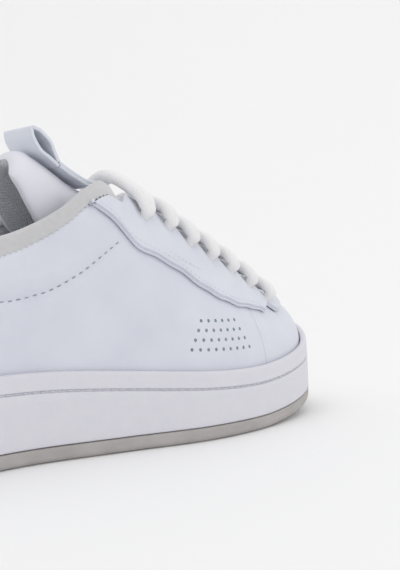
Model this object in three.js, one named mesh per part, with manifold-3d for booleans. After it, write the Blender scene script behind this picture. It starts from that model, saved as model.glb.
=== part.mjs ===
// Low-top court shoe for the right foot, in millimetres.
// +X points to the toe, +Z is up, and -Y is the outer (lateral) side of the foot.
// The origin lies on the floor, under the middle of the sole.
import * as THREE from "three";
import { mergeVertices } from "three/addons/utils/BufferGeometryUtils.js";
import Module from "manifold-3d";

const wasm = await Module();
wasm.setup();

// ---------------------------------------------------------------- driving sizes
const SHOE_LENGTH = 300; // heel to toe, over the rubber
const BALL_WIDTH = 109; // across the ball of the foot, over the rubber
const HEEL_WIDTH = 77;
const WAIST_WIDTH = 75;
const STACK_HEEL = 40.5; // floor to the top of the rubber wall, at the heel
const STACK_BALL = 32;
const STACK_TOE = 34;
const TOE_SPRING = 13.5; // how far the toe end of the sole curls up
const SPRING_RUN = 90; // how far behind the toe tip the curl starts
const OUTSOLE_THICKNESS = 6.8;
const OUTSOLE_ROUND = 2.4; // rounding of the lower edge
const TREAD_DEPTH = 1.8;
const TREAD_SLOT = 3.2;
const TREAD_PITCH = 15;
const TREAD_MARGIN = 27; // heel tip to the first slot
const TREAD_EDGE = 9; // slot ends to the sole's edge
const WALL_THICKNESS = 4.6;
const WALL_LEAN = 1.4; // how far the wall draws in towards its top
const CUP_FLOOR = 3;
const BAND_HEIGHT = 8; // plain band above the stitched groove
const GROOVE_WIDTH = 1.8;
const GROOVE_DEPTH = 1.3;
const THREAD = 0.9;
const FOOTBED_DEPTH = 14; // top of the rubber wall down to the insole board
const BOARD_THICKNESS = 1.8;
const SOCKLINER_THICKNESS = 5;
const SOCKLINER_PLAY = 1.6; // free edge round the sockliner

const INSTEP_HEIGHT = 123.5; // top of the instep, at the middle of the shoe
const TOE_BOX_HEIGHT = 68; // top of the toe box, at the front of the throat
const HEEL_TAB_HEIGHT = 110; // collar edge at the heel
const ANKLE_HEIGHT = 92; // lowest point of the collar edge
const HUMP_HEIGHT = 122; // collar edge beside the first lace
const HUMP_X = -12;
const THROAT_FRONT = 108;
const THROAT_HALF_REAR = 20.5;
const THROAT_HALF_FRONT = 13;
const FACING_DEPTH = 17; // width of the lace facing, down the side

const LEATHER = 1.6;
const OVERLAY = 1.8;
const LINING = 1;
const STIFFENER = 1.2;
const HEEL_PATCH = 1.4;
const COLLAR_PAD = 5;
const BINDING_FLANK = 6.5; // how far the collar binding laps down outside
const INNER_FLANK = 3.5; // and down inside
const BINDING_EASE = 2.7; // room between the inner flank and the lining
const BINDING = 1;

const TONGUE_END = -49; // the ridge of the tongue ends here
const TONGUE_HINGE = -4; // the free top of the tongue bends here
const TONGUE_FRONT = 98;
const TONGUE_HALF = 19;
const TONGUE_WAIST = 0.12; // it is drawn in between the humps of the collar
const TONGUE_DROP = 34;
const TONGUE_SHELL = 1.2;
const TONGUE_FOAM = 6;
const TONGUE_LINING = 1;

const LACE_ROWS = 7;
const LACE_FIRST = 9;
const LACE_PITCH = 14.9;
const LACE_WIDTH = 10.8;
const LACE_THICKNESS = 6.4;
const LACE_ARCH = 1.5; // how far a bar bows up between its two eyelets
const LACE_NECK = 4.2; // across, where it is squeezed through an eyelet
const LACE_RUN = 3.4; // the hidden stretches under the facing
const EYELET_EDGE = 8.2; // eyelet centre to the edge of the throat
const EYELET_RADIUS = 3;

const STRAP_WIDTH = 24;
const STRAP_THICKNESS = 1.5;
const STRAP_START = -6;
const LOOP_ROOT = -26;
const LOOP_LENGTH = 21;
const LOOP_BULGE = 7;

const GAP = 0.3;
const COLUMNS = 25; // cross lines of the sole, heel to toe

// ---------------------------------------------------------------- small helpers
const lerp = THREE.MathUtils.lerp;
const clamp01 = (t) => THREE.MathUtils.clamp(t, 0, 1);
const smooth = (a, b, t) => THREE.MathUtils.smoothstep(t, a, b);

// A smooth curve through [x, value] stations that never overshoots.
function along(stations, x) {
  const last = stations.length - 1;
  if (x <= stations[0][0]) return stations[0][1];
  if (x >= stations[last][0]) return stations[last][1];
  let i = 0;
  while (stations[i + 1][0] < x) i++;
  const slope = (k) => (stations[k + 1][1] - stations[k][1]) / (stations[k + 1][0] - stations[k][0]);
  const tangent = (k) => {
    if (k === 0) return slope(0);
    if (k === last) return slope(last - 1);
    const a = slope(k - 1);
    const b = slope(k);
    return a * b <= 0 ? 0 : (2 * a * b) / (a + b);
  };
  const step = stations[i + 1][0] - stations[i][0];
  const t = (x - stations[i][0]) / step;
  const t2 = t * t;
  const t3 = t2 * t;
  return (
    (2 * t3 - 3 * t2 + 1) * stations[i][1] +
    (t3 - 2 * t2 + t) * step * tangent(i) +
    (3 * t2 - 2 * t3) * stations[i + 1][1] +
    (t3 - t2) * step * tangent(i + 1)
  );
}

// The value of t between a and b where f(t) changes sign.
function solve(f, a, b) {
  const sign = f(a) < 0;
  for (let i = 0; i < 40; i++) {
    const m = (a + b) / 2;
    if (f(m) < 0 === sign) a = m;
    else b = m;
  }
  return (a + b) / 2;
}

// ---------------------------------------------------------------- sole outline
// u runs once round the shoe: 0 at the heel, 0.5 at the toe, the outer side first.
const HALF = SHOE_LENGTH / 2;
const outline = new THREE.CatmullRomCurve3(
  [
    [-1, 0.013 * HEEL_WIDTH],
    [-0.92, -0.351 * HEEL_WIDTH],
    [-0.7, -0.506 * HEEL_WIDTH],
    [-0.4, -0.507 * WAIST_WIDTH],
    [-0.1, -0.422 * BALL_WIDTH],
    [0.213, -0.505 * BALL_WIDTH],
    [0.52, -0.468 * BALL_WIDTH],
    [0.81, -0.312 * BALL_WIDTH],
    [1, 0.04 * BALL_WIDTH],
    [0.873, 0.394 * BALL_WIDTH],
    [0.587, 0.495 * BALL_WIDTH],
    [0.28, 0.459 * BALL_WIDTH],
    [-0.053, 0.376 * BALL_WIDTH],
    [-0.387, 0.493 * WAIST_WIDTH],
    [-0.693, 0.494 * HEEL_WIDTH],
    [-0.92, 0.351 * HEEL_WIDTH],
  ].map(([x, y]) => new THREE.Vector3(x * HALF, y, 0)),
  true,
  "catmullrom",
  0.5,
);

function edge(u, inset) {
  const t = ((u % 1) + 1) % 1;
  const p = outline.getPoint(t);
  const d = outline.getPoint((t + 1e-4) % 1).sub(outline.getPoint((t + 1 - 1e-4) % 1)).normalize();
  return new THREE.Vector3(p.x - d.y * inset, p.y + d.x * inset, 0);
}

const springAt = (x) => TOE_SPRING * Math.pow(clamp01((x - (HALF - SPRING_RUN)) / SPRING_RUN), 2);
const stackAt = (x) =>
  along(
    [
      [-HALF, STACK_HEEL],
      [-0.4 * HALF, STACK_HEEL - 1],
      [0.4 * HALF, STACK_BALL],
      [HALF, STACK_TOE],
    ],
    x,
  );
const wallTop = (x) => springAt(x) + stackAt(x);

// The cross lines of the sole, closer together at its round ends.
const END = 0.004;
const columnU = (i) => {
  const even = i / COLUMNS;
  const dense = 0.5 - 0.5 * Math.cos(Math.PI * even);
  return lerp(END, 0.5 - END, lerp(even, dense, 0.55));
};

// ---------------------------------------------------------------- shaping solids
// Every sheet-like piece is a box that is bent to its place: s and v run along
// its two long directions, and w through its thickness, from the inside out.
function bend(columns, rows, layers, place) {
  const box = new THREE.BoxGeometry(1, 1, 1, columns, rows, layers);
  const p = box.getAttribute("position");
  // The inner face is split along the same diagonals as the outer one, so sheets nest.
  const index = box.index;
  for (let i = 0; i < index.count; i += 6) {
    const [a, b, d, , c] = [0, 1, 2, 3, 4].map((k) => index.getX(i + k));
    if ([a, b, c, d].some((k) => p.getZ(k) > -0.499)) continue;
    [a, b, c, a, c, d].forEach((k, j) => index.setX(i + j, k));
  }
  for (let i = 0; i < p.count; i++) {
    const q = place(p.getX(i) + 0.5, p.getY(i) + 0.5, p.getZ(i) + 0.5);
    p.setXYZ(i, q.x, q.y, q.z);
  }
  return plain(box);
}

// A ring round the shoe: a closed profile of [inset, height] points.
function ring(profile) {
  const count = 2 * (COLUMNS + 1);
  const points = profile(0).map((q, i) => new THREE.Vector2(i + 1, 0));
  points.push(points[0]);
  const lathe = new THREE.LatheGeometry(points, count);
  const p = lathe.getAttribute("position");
  for (let k = 0; k <= count; k++) {
    const c = k % count;
    const u = c <= COLUMNS ? columnU(c) : 1 - columnU(2 * COLUMNS + 1 - c);
    const x = edge(u, 0).x;
    const section = profile(x);
    for (let j = 0; j <= section.length; j++) {
      const [inset, z] = section[j % section.length];
      const q = edge(u, inset);
      p.setXYZ(k * points.length + j, q.x, q.y, z);
    }
  }
  return plain(lathe);
}

// A plate across the whole sole. Each level is an inset and a height over x.
function plate(levels, rows = 4) {
  return bend(COLUMNS, rows, levels.length - 1, (s, v, w) => {
    const u = columnU(Math.round(s * COLUMNS));
    const level = levels[Math.round(w * (levels.length - 1))];
    const a = edge(u, level.inset);
    const b = edge(1 - u, level.inset);
    const q = a.lerp(b, v);
    q.z = level.z(q.x);
    return q;
  });
}

function plain(geometry) {
  geometry.deleteAttribute("normal");
  geometry.deleteAttribute("uv");
  return mergeVertices(geometry, 1e-4);
}

function solid(geometry) {
  const mesh = new wasm.Mesh({
    numProp: 3,
    vertProperties: geometry.getAttribute("position").array,
    triVerts: new Uint32Array(geometry.index.array),
  });
  return new wasm.Manifold(mesh);
}

function geometryOf(body) {
  const m = body.getMesh();
  const g = new THREE.BufferGeometry();
  g.setAttribute("position", new THREE.BufferAttribute(m.vertProperties, 3));
  g.setIndex(new THREE.BufferAttribute(m.triVerts, 1));
  return g;
}

const cut = (geometry, tools) => geometryOf(tools.reduce((b, t) => b.subtract(solid(t)), solid(geometry)));
const join = (a, b) => geometryOf(solid(a).add(solid(b)));

// ---------------------------------------------------------------- the upper's surface
// h climbs from the sole (0) over the side to the ridge of the instep (1).
const UPPER_INSET = WALL_THICKNESS + GAP + 0.1;
const upperFoot = (x) => wallTop(x) - FOOTBED_DEPTH - BOARD_THICKNESS;
const WALL_LAP = 2; // the side rises straight to this far below the rubber's top
const UPRIGHT = 0.12; // share of h spent on that straight part
const RIDGE_REAR = -0.693 * HALF;
const RIDGE_SHARE = 0.72;
const ridgeHeight = (x) =>
  along(
    [
      [RIDGE_REAR, INSTEP_HEIGHT + 45],
      [-0.5 * HALF, INSTEP_HEIGHT + 30],
      [-0.3 * HALF, INSTEP_HEIGHT + 17.5],
      [-0.133 * HALF, INSTEP_HEIGHT + 7.5],
      [0, INSTEP_HEIGHT],
      [0.127 * HALF, lerp(INSTEP_HEIGHT, TOE_BOX_HEIGHT, 0.126)],
      [0.233 * HALF, lerp(INSTEP_HEIGHT, TOE_BOX_HEIGHT, 0.288)],
      [0.34 * HALF, lerp(INSTEP_HEIGHT, TOE_BOX_HEIGHT, 0.432)],
      [0.467 * HALF, lerp(INSTEP_HEIGHT, TOE_BOX_HEIGHT, 0.62)],
      [0.6 * HALF, lerp(INSTEP_HEIGHT, TOE_BOX_HEIGHT, 0.847)],
      [0.693 * HALF, TOE_BOX_HEIGHT],
    ],
    x,
  );
const squareness = (x) =>
  along(
    [
      [-0.7 * HALF, 2.6],
      [-0.2 * HALF, 3.1],
      [-0.08 * HALF, 2.85],
      [0.06 * HALF, 2.15],
      [0.37 * HALF, 1.72],
      [0.69 * HALF, 1.9],
    ],
    x,
  );

function surface(u, h) {
  const foot = edge(u, UPPER_INSET);
  const x = RIDGE_SHARE * (foot.x + edge(1 - u, UPPER_INSET).x) * 0.5;
  const power = 2 / squareness(x);
  const shoulder = wallTop(foot.x) - WALL_LAP;
  if (h < UPRIGHT) return new THREE.Vector3(foot.x, foot.y, lerp(upperFoot(foot.x), shoulder, h / UPRIGHT));
  const angle = (Math.PI / 2) * Math.pow((clamp01(h) - UPRIGHT) / (1 - UPRIGHT), 1.3);
  const spread = Math.pow(Math.max(Math.cos(angle), 0), power);
  const rise = Math.pow(Math.sin(angle), power);
  const at = lerp(x, foot.x, spread);
  return new THREE.Vector3(at, foot.y * spread, lerp(shoulder, ridgeHeight(at), rise));
}

function upper(u, h, out) {
  const e = 1e-3;
  const h0 = THREE.MathUtils.clamp(h, 0.02, 0.995);
  const du = surface(u + e, h0).sub(surface(u - e, h0));
  const dh = surface(u, h0 + e).sub(surface(u, h0 - e));
  const n = du.cross(dh).normalize();
  return surface(u, h).addScaledVector(n, out);
}

// h where a line seen from the side, z = line(x), crosses the surface at u.
const climb = (u, line) => solve((h) => surface(u, h).z - line(surface(u, h).x), 0, 1);

// ---------------------------------------------------------------- lines on the upper
const collarLine = (x) =>
  along(
    [
      [-HALF, HEEL_TAB_HEIGHT],
      [-0.87 * HALF, lerp(ANKLE_HEIGHT, HEEL_TAB_HEIGHT, 0.75)],
      [-0.58 * HALF, ANKLE_HEIGHT],
      [HUMP_X - 52, lerp(ANKLE_HEIGHT, HUMP_HEIGHT, 0.17)],
      [HUMP_X - 38, lerp(ANKLE_HEIGHT, HUMP_HEIGHT, 0.35)],
      [HUMP_X - 25, lerp(ANKLE_HEIGHT, HUMP_HEIGHT, 0.58)],
      [HUMP_X - 12, lerp(ANKLE_HEIGHT, HUMP_HEIGHT, 0.86)],
      [HUMP_X, HUMP_HEIGHT],
      [HUMP_X + 14, HUMP_HEIGHT + 1],
    ],
    x,
  );
const throatHalf = (x) => {
  const run = clamp01((THROAT_FRONT - x) / (THROAT_FRONT - HUMP_X));
  const round = Math.sqrt(clamp01((THROAT_FRONT - x) / 12));
  return lerp(THROAT_HALF_FRONT, THROAT_HALF_REAR, run) * round;
};
const collarH = (u) => climb(u, collarLine);
const throatH = (u) =>
  solve((h) => {
    const p = surface(u, h);
    return throatHalf(p.x) - Math.abs(p.y) - (p.x > THROAT_FRONT ? p.x - THROAT_FRONT : 0);
  }, 0, 1);
const beside = (u) => edge(u, UPPER_INSET).x > HUMP_X - 30; // beside or ahead of the throat
const topH = (u) => (beside(u) ? Math.min(collarH(u), throatH(u)) : collarH(u));

// The lower edge of the lace facing, measured down from the ridge.
const facingDrop = (x) =>
  along(
    [
      [HUMP_X - 12, 1.15 * FACING_DEPTH],
      [HUMP_X - 2, 1.25 * FACING_DEPTH],
      [HUMP_X + 11, 1.8 * FACING_DEPTH],
      [HUMP_X + 20, 1.86 * FACING_DEPTH],
      [HUMP_X + 40, 2.0 * FACING_DEPTH],
      [HUMP_X + 53, 2.02 * FACING_DEPTH],
      [HUMP_X + 68, 1.92 * FACING_DEPTH],
      [HUMP_X + 81, 1.66 * FACING_DEPTH],
      [HUMP_X + 96, 1.3 * FACING_DEPTH],
      [HUMP_X + 113, 1.2 * FACING_DEPTH],
    ],
    x,
  );
const facingLine = (x) => ridgeHeight(x) - facingDrop(x);
const FACING_TOE = 14; // the facing reaches this far ahead of the throat
// How far a point lies inside the facing's round front end, in plan.
function insideFacing(p) {
  const half = THROAT_HALF_FRONT + FACING_TOE - 1;
  const ahead = p.x - THROAT_FRONT + FACING_TOE;
  if (ahead < 0) return half - 0.9 * ahead - Math.abs(p.y);
  return half - Math.hypot((ahead * half) / (2 * FACING_TOE), p.y);
}
const facingH = (u) => {
  const low = climb(u, facingLine);
  return insideFacing(surface(u, low)) >= 0 ? low : solve((h) => insideFacing(surface(u, h)), low, 1);
};

const padLine = (x) =>
  along(
    [
      [-HALF, HEEL_TAB_HEIGHT - 38],
      [HUMP_X - 57, ANKLE_HEIGHT - 22],
      [HUMP_X - 38, ANKLE_HEIGHT - 19],
      [HUMP_X - 22, ANKLE_HEIGHT - 12],
      [HUMP_X - 8, ANKLE_HEIGHT - 3],
      [HUMP_X + 6, ANKLE_HEIGHT + 6],
    ],
    x,
  );

// How full the collar padding is at a point: 0 at its seam, 1 over most of it.
function padding(u, h) {
  const p = surface(u, h);
  const low = padLine(p.x);
  const top = collarLine(p.x);
  const front = 1 - smooth(HUMP_X - 28, HUMP_X - 8, p.x);
  return smooth(low, low + 14, p.z) * (1 - 0.5 * smooth(top - 8, top, p.z)) * front;
}

// Offsets from the upper's surface, in layers from the outside in.
const PAD_OUT = -LEATHER - GAP - 0.1;
const padIn = (u, h) => PAD_OUT - Math.max(0.8, COLLAR_PAD * padding(u, h));
const liningOut = (u, h) => PAD_OUT - Math.max(STIFFENER, COLLAR_PAD * padding(u, h)) - 2 * GAP;
const liningIn = (u, h) => liningOut(u, h) - LINING;

// All sheets of the upper share their columns (u) and levels (h), so that they nest.
const ringU = [];
for (let i = 0; i <= COLUMNS; i++) ringU.push(columnU(i), 1 - columnU(i));
const uAt = (x) => solve((u) => edge(u, UPPER_INSET).x - x, END, 0.5 - END);
const PAD_END = uAt(HUMP_X - 34);
const FACING_REAR = uAt(HUMP_X - 14);
const BINDING_END = uAt(HUMP_X + 4);
const COUNTER_END = uAt(-0.5 * HALF);
const LINING_END = uAt(0.4 * HALF);
const SEAM = uAt(0.5 * HALF);
const PUFF_END = uAt(0.75 * HALF);
const TAB_END = 0.05;
const marks = [PAD_END, FACING_REAR, BINDING_END, COUNTER_END, LINING_END, SEAM, PUFF_END, TAB_END];
const kept = ringU.filter((u) => marks.every((m) => Math.abs(Math.min(u, 1 - u) - m) > 0.006));
const onceRound = [...kept, ...marks, ...marks.map((m) => 1 - m)];
const allU = [-1, 0, 1].flatMap((turn) => onceRound.map((u) => u + turn)).sort((a, b) => a - b);
const sideOf = (u) => Math.min(Math.abs(u), Math.abs(1 - u));
const padH = (u) => {
  const forward = THREE.MathUtils.clamp((sideOf(u) - PAD_END) / (FACING_REAR - PAD_END), 0, 1);
  if (forward <= 0) return climb(u, padLine);
  return forward < 1 ? lerp(climb(u, padLine), facingH(u), forward) : facingH(u);
};
const LOWER = [0, 0.36, 0.68, 1];
const UPPER = [0.34, 0.67, 1];
function levelsOf(u, from, to) {
  const low = padH(u);
  const top = topH(u) - 0.004;
  const all = [...LOWER.map((k) => k * low), ...UPPER.map((k) => lerp(low, top, k))];
  return all.slice(from, to + 1);
}
const TOP_LEVEL = LOWER.length + UPPER.length - 1;
const PAD_LEVEL = LOWER.length - 1;

function sheet({ u0, u1, levels, outside, inside }) {
  const value = (f, u, h) => (typeof f === "function" ? f(u, h) : f);
  const columns = [u0, ...allU.filter((u) => u > u0 + 0.002 && u < u1 - 0.002), u1];
  const rowCount = levels(u0).length - 1;
  return bend(columns.length - 1, rowCount, 1, (s, v, w) => {
    const u = columns[Math.round(s * (columns.length - 1))];
    const h = levels(u)[Math.round(v * rowCount)];
    return upper(u, h, lerp(value(inside, u, h), value(outside, u, h), w));
  });
}
const between = (low, high, count) => (u) => {
  const a = low(u);
  const b = high(u);
  return Array.from({ length: count + 1 }, (_, i) => lerp(a, b, i / count));
};


// ---------------------------------------------------------------- sole pieces
const sole = {};
sole.outsole = (() => {
  const body = plate([
    { inset: OUTSOLE_ROUND, z: (x) => springAt(x) },
    { inset: 0.5, z: (x) => springAt(x) + 0.5 * OUTSOLE_ROUND },
    { inset: 0, z: (x) => springAt(x) + 1.4 * OUTSOLE_ROUND },
    { inset: 0, z: (x) => springAt(x) + OUTSOLE_THICKNESS },
  ]);
  const slots = [];
  const first = -HALF + TREAD_MARGIN;
  const last = HALF - SPRING_RUN - 2 * TREAD_SLOT;
  const count = Math.floor((last - first) / TREAD_PITCH);
  for (let i = 0; i <= count; i++) {
    const x = first + i * TREAD_PITCH;
    const near = solve((u) => edge(u, 0).x - x, END, 0.5 - END);
    const a = edge(near, 0).y + TREAD_EDGE;
    const b = edge(1 - near, 0).y - TREAD_EDGE;
    const slot = new THREE.BoxGeometry(TREAD_SLOT, b - a, 2 * TREAD_DEPTH);
    slot.translate(x, (a + b) / 2, 0);
    slots.push(plain(slot));
  }
  return cut(body, slots);
})();

sole.cupsole = (() => {
  const wall = ring((x) => {
    const base = springAt(x) + OUTSOLE_THICKNESS + GAP;
    const top = wallTop(x);
    const groove = top - BAND_HEIGHT;
    return [
      [0.7, base],
      [0, base + 1.2],
      [0.45 * WALL_LEAN, groove - GROOVE_WIDTH],
      [0.45 * WALL_LEAN + GROOVE_DEPTH, groove - GROOVE_WIDTH + 0.3],
      [0.45 * WALL_LEAN + GROOVE_DEPTH, groove - 0.3],
      [0.5 * WALL_LEAN, groove],
      [0.85 * WALL_LEAN, top - 1.4],
      [WALL_LEAN + 0.9, top - 0.1],
      [WALL_THICKNESS - 0.6, top],
      [WALL_THICKNESS, top - 0.8],
      [WALL_THICKNESS, base],
    ];
  });
  const floor = plate([
    { inset: WALL_THICKNESS - 1, z: (x) => springAt(x) + OUTSOLE_THICKNESS + GAP + 0.01 },
    { inset: WALL_THICKNESS - 1, z: (x) => springAt(x) + OUTSOLE_THICKNESS + GAP + CUP_FLOOR },
  ]);
  return join(wall, floor);
})();

sole.sole_stitching = ring((x) => {
  const z = wallTop(x) - BAND_HEIGHT - 0.5 * GROOVE_WIDTH - 0.5 * THREAD;
  const near = 0.45 * WALL_LEAN + GROOVE_DEPTH - GAP - THREAD;
  return [
    [near, z],
    [near, z + THREAD],
    [near + THREAD, z + THREAD],
    [near + THREAD, z],
  ];
});

const boardTop = (x) => wallTop(x) - FOOTBED_DEPTH;
const BOARD_INSET = UPPER_INSET + LEATHER + 2 * GAP + STIFFENER + GAP + LINING + 0.4;
sole.midsole_foam = plate([
  { inset: WALL_THICKNESS + GAP, z: (x) => springAt(x) + OUTSOLE_THICKNESS + CUP_FLOOR + 2 * GAP },
  { inset: WALL_THICKNESS + GAP, z: (x) => boardTop(x) - BOARD_THICKNESS - GAP },
]);
sole.strobel_board = plate([
  { inset: BOARD_INSET, z: (x) => boardTop(x) - BOARD_THICKNESS },
  { inset: BOARD_INSET, z: (x) => boardTop(x) },
]);
sole.sockliner = plate([
  { inset: BOARD_INSET + SOCKLINER_PLAY, z: (x) => boardTop(x) + GAP },
  { inset: BOARD_INSET + SOCKLINER_PLAY, z: (x) => boardTop(x) + GAP + 0.6 * SOCKLINER_THICKNESS },
  { inset: BOARD_INSET + SOCKLINER_PLAY + 1.5, z: (x) => boardTop(x) + GAP + SOCKLINER_THICKNESS },
]);

// ---------------------------------------------------------------- eyelets
// The surface point at plan position x, y on the outer (-) or inner (+) side.
function onUpper(x, y) {
  const mirror = (u) => (y < 0 ? u : 1 - u);
  const hAt = (u) => solve((h) => Math.abs(surface(mirror(u), h).y) - Math.abs(y), 0, 1);
  const u = solve((t) => surface(mirror(t), hAt(t)).x - x, 0.1, 0.5 - END);
  return { u: mirror(u), h: hAt(u) };
}

const rows = [];
for (let i = 0; i < LACE_ROWS; i++) {
  const x = LACE_FIRST + i * LACE_PITCH;
  const half = throatHalf(Math.min(x, THROAT_FRONT - 12)) + EYELET_EDGE;
  rows.push({ x, outer: onUpper(x, -half), inner: onUpper(x, half) });
}

function eyeletTool({ u, h }) {
  const a = upper(u, h, -8);
  const b = upper(u, h, 6);
  const tool = new THREE.CylinderGeometry(EYELET_RADIUS, EYELET_RADIUS, a.distanceTo(b), 8);
  const turn = new THREE.Quaternion().setFromUnitVectors(
    new THREE.Vector3(0, 1, 0),
    b.clone().sub(a).normalize(),
  );
  tool.applyQuaternion(turn);
  tool.translate((a.x + b.x) / 2, (a.y + b.y) / 2, (a.z + b.z) / 2);
  return plain(tool);
}
const outerHoles = rows.map((r) => eyeletTool(r.outer));
const innerHoles = rows.map((r) => eyeletTool(r.inner));
const allHoles = [...outerHoles, ...innerHoles];

// ---------------------------------------------------------------- upper pieces
const SEAM_GAP = 0.0012; // in u, about 0.5 mm along the sole
const whole = (u) => levelsOf(u, 0, TOP_LEVEL);
const top = {};
const quarter = { levels: whole, outside: 0, inside: -LEATHER };
top.quarter_lateral = cut(sheet({ ...quarter, u0: 0.0008, u1: SEAM }), outerHoles);
top.quarter_medial = cut(sheet({ ...quarter, u0: 1 - SEAM, u1: 0.9992 }), innerHoles);
top.vamp = cut(sheet({ ...quarter, u0: SEAM + SEAM_GAP, u1: 1 - SEAM - SEAM_GAP }), allHoles);

const OVERLAY_GAP = 3 * GAP;
// The facing is cut back where the collar binding laps down over the hump.
const rimZ = (u) => surface(u, topH(u)).z;
const belowRim = (u, drop) => climb(u, () => rimZ(u) - drop);
const facingTop = (u) => {
  const full = topH(u) - 0.004;
  const held = belowRim(u, BINDING_FLANK + 0.8);
  return lerp(Math.min(held, full), full, smooth(BINDING_END + 0.002, BINDING_END + 0.014, sideOf(u)));
};
const UPPER_STEPS = [0, ...UPPER];
top.lace_facing = cut(
  sheet({
    u0: FACING_REAR,
    u1: 1 - FACING_REAR,
    levels: (u) => UPPER_STEPS.map((k) => lerp(facingH(u), facingTop(u), k)),
    outside: OVERLAY_GAP + OVERLAY,
    inside: OVERLAY_GAP,
  }),
  allHoles,
);

const bindingLow = (u) => belowRim(u, BINDING_FLANK + 1);
top.heel_tab = sheet({
  u0: -TAB_END,
  u1: TAB_END,
  levels: between((u) => climb(u, (x) => wallTop(x) + 1), bindingLow, 4),
  outside: OVERLAY_GAP + HEEL_PATCH,
  inside: OVERLAY_GAP,
});

top.heel_counter = sheet({
  u0: -COUNTER_END,
  u1: COUNTER_END,
  levels: (u) => [0.06, LOWER[1], LOWER[2], 0.94].map((k) => k * padH(u)),
  outside: PAD_OUT,
  inside: PAD_OUT - STIFFENER,
});

top.collar_foam = sheet({
  u0: -PAD_END,
  u1: PAD_END,
  levels: (u) => levelsOf(u, PAD_LEVEL, TOP_LEVEL),
  outside: PAD_OUT,
  inside: padIn,
});

top.collar_lining = cut(
  sheet({ u0: -LINING_END, u1: LINING_END, levels: whole, outside: liningOut, inside: liningIn }),
  allHoles,
);
top.vamp_lining = cut(
  sheet({
    u0: LINING_END + SEAM_GAP,
    u1: 1 - LINING_END - SEAM_GAP,
    levels: whole,
    outside: liningOut,
    inside: liningIn,
  }),
  allHoles,
);
top.toe_puff = sheet({
  u0: PUFF_END,
  u1: 1 - PUFF_END,
  levels: (u) => [0.06, LOWER[1], LOWER[2]].map((k) => k * padH(u)),
  outside: PAD_OUT,
  inside: PAD_OUT - STIFFENER,
});

// The lining's inner face, which is flat between two levels.
function liningFace(u, h) {
  const levels = levelsOf(u, 0, TOP_LEVEL);
  const k = Math.max(1, levels.findIndex((level) => level >= h));
  const share = (h - levels[k - 1]) / (levels[k] - levels[k - 1]);
  return lerp(liningIn(u, levels[k - 1]), liningIn(u, levels[k]), share);
}

// The binding is folded over the collar edge: outer flank, crown, inner flank.
top.collar_binding = (() => {
  // Each point: height over the collar edge, and offset, for the inside and the outside of the fold.
  const section = (u) => {
    const under = belowRim(u, INNER_FLANK);
    const crown = -liningIn(u, topH(u) - 0.004);
    const flank = BINDING_EASE - liningFace(u, under);
    const lap = OVERLAY_GAP + 0.7;
    return [
      [-BINDING_FLANK, lap, -BINDING_FLANK, lap + BINDING],
      [0, lap, 0.5, lap + BINDING],
      [0.8, -0.25 * crown, 1.8, -0.15 * crown],
      [0.8, -0.75 * crown, 1.8, -0.85 * crown],
      [0, -crown - GAP, 0.5, -crown - GAP - BINDING],
      [-INNER_FLANK, -flank, -INNER_FLANK, -flank - BINDING],
    ];
  };
  const inner = allU.filter((u) => u > -BINDING_END + 0.003 && u < BINDING_END - 0.003);
  const columns = [-BINDING_END, ...inner, BINDING_END];
  const sections = columns.map(section);
  const steps = sections[0].length - 1;
  return bend(columns.length - 1, steps, 1, (s, v, w) => {
    const c = Math.round(s * (columns.length - 1));
    const [riseIn, outIn, riseOut, outOut] = sections[c][Math.round(v * steps)];
    const rise = lerp(riseIn, riseOut, w);
    const out = lerp(outIn, outOut, w);
    const u = columns[c];
    if (rise < 0) return upper(u, belowRim(u, -rise), out);
    const q = upper(u, topH(u), out);
    q.z += rise;
    return q;
  });
})();

// ---------------------------------------------------------------- tongue
const TONGUE_UNDER = 1.5; // the tongue's ridge lies this far below the instep line
const tongueRidge = (x) =>
  x > HUMP_X + 36
    ? ridgeHeight(x) - TONGUE_UNDER
    : along(
        [
          [TONGUE_END - 2, INSTEP_HEIGHT + 14.6],
          [TONGUE_END + 6, INSTEP_HEIGHT + 14],
          [HUMP_X - 25, INSTEP_HEIGHT + 11.5],
          [HUMP_X - 14, INSTEP_HEIGHT + 5.5],
          [HUMP_X - 6, INSTEP_HEIGHT + 0.8],
          [HUMP_X + 4, INSTEP_HEIGHT - 3],
          [HUMP_X + 16, INSTEP_HEIGHT - 3.2],
          [HUMP_X + 24, INSTEP_HEIGHT - 4.6],
          [HUMP_X + 36, ridgeHeight(HUMP_X + 36) - TONGUE_UNDER],
        ],
        x,
      );
// A point of the tongue: x along its ridge, a from the ridge (0) to an edge (-1 or 1).
const tongueCorner = (x) => 1 - 0.42 * Math.pow(1 - clamp01((x - TONGUE_END) / 26), 2);
function tongueSkin(x, a) {
  const lean = lerp(-0.33, -0.47, smooth(HUMP_X, HUMP_X + 40, x));
  const down = new THREE.Vector3(lean, 0, -Math.sqrt(1 - lean * lean));
  const waist = 1 - TONGUE_WAIST * Math.exp(-Math.pow((x - HUMP_X) / 13, 2));
  const half = waist * lerp(TONGUE_HALF, 0.65 * TONGUE_HALF, smooth(HUMP_X, TONGUE_FRONT, x));
  const drop = lerp(TONGUE_DROP, 0.5 * TONGUE_DROP, smooth(HUMP_X, TONGUE_FRONT, x));
  const angle = (Math.PI / 2) * Math.min(Math.abs(a), 1);
  const power = 2 / 2.3;
  const y = Math.sign(a) * half * Math.pow(Math.sin(angle), power);
  const fall = drop * (1 - Math.pow(Math.max(Math.cos(angle), 0), power));
  return new THREE.Vector3(x, 0, tongueRidge(x)).addScaledVector(down, fall).add(new THREE.Vector3(0, y, 0));
}
function tongue(x, a, out) {
  const e = 0.004;
  const b = THREE.MathUtils.clamp(a, -0.98, 0.98) * tongueCorner(x);
  const dx = tongueSkin(x + 0.3, b).sub(tongueSkin(x - 0.3, b));
  const da = tongueSkin(x, b + e).sub(tongueSkin(x, b - e));
  return tongueSkin(x, a * tongueCorner(x)).addScaledVector(dx.cross(da).normalize(), out);
}
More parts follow.
